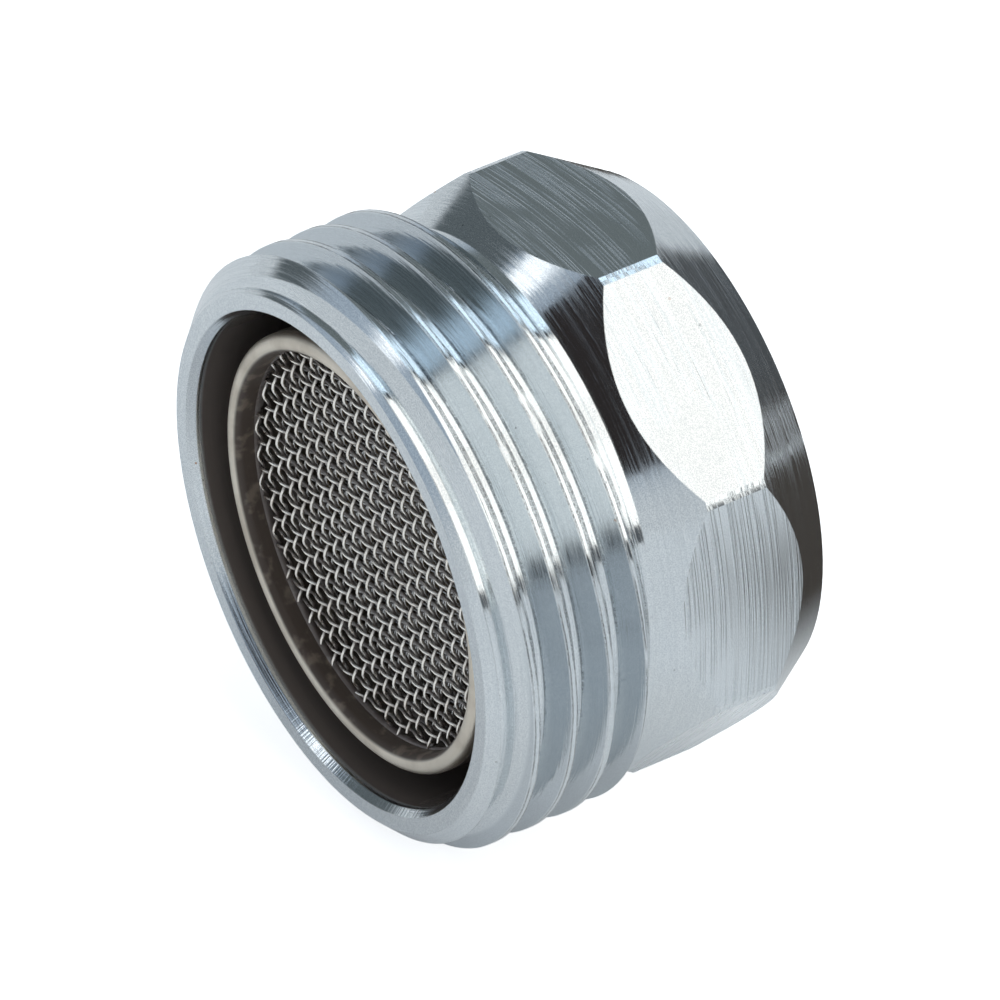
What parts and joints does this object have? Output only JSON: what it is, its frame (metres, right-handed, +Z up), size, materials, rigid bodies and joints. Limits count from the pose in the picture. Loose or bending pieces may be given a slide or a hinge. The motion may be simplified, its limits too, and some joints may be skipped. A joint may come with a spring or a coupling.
{
  "type": "bubble jet adapter",
  "caption": "Chromed tap fitting with an eight-sided spanner collar, a female tap thread, a male hose thread and a wire-mesh air-mixing cartridge",
  "frame": {"origin": "On the turning axis, in the plane where the end of the tap's thread meets the sealing washer", "axes": "+Y runs along the turning axis from the hose outlet to the tap inlet; +Z is up with one collar flat facing straight down"},
  "size_m": [0.0264, 0.0169, 0.0264],
  "materials": {
    "chromed_brass": "bright chrome plate over turned and milled brass",
    "sleeve_metal": "dull nickel over drawn sheet",
    "screen_wire": "fine woven wire, slightly worn",
    "inner_metal": "plain ring",
    "brass_insert": "turned, unplated",
    "washer_rubber": "flat rubber"
  },
  "bodies": {
    "root": {"threaded_body": "chromed_brass", "cartridge_sleeve": "sleeve_metal", "outlet_screen": "screen_wire", "outer_spacer_ring": "inner_metal", "middle_screen": "screen_wire", "inner_spacer_ring": "inner_metal", "inner_screen": "screen_wire", "screen_clamp_ring": "inner_metal", "deflector_cone": "brass_insert", "jet_plate": "brass_insert", "filter_cap": "sleeve_metal", "sealing_washer": "washer_rubber"}
  },
  "joints": []
}
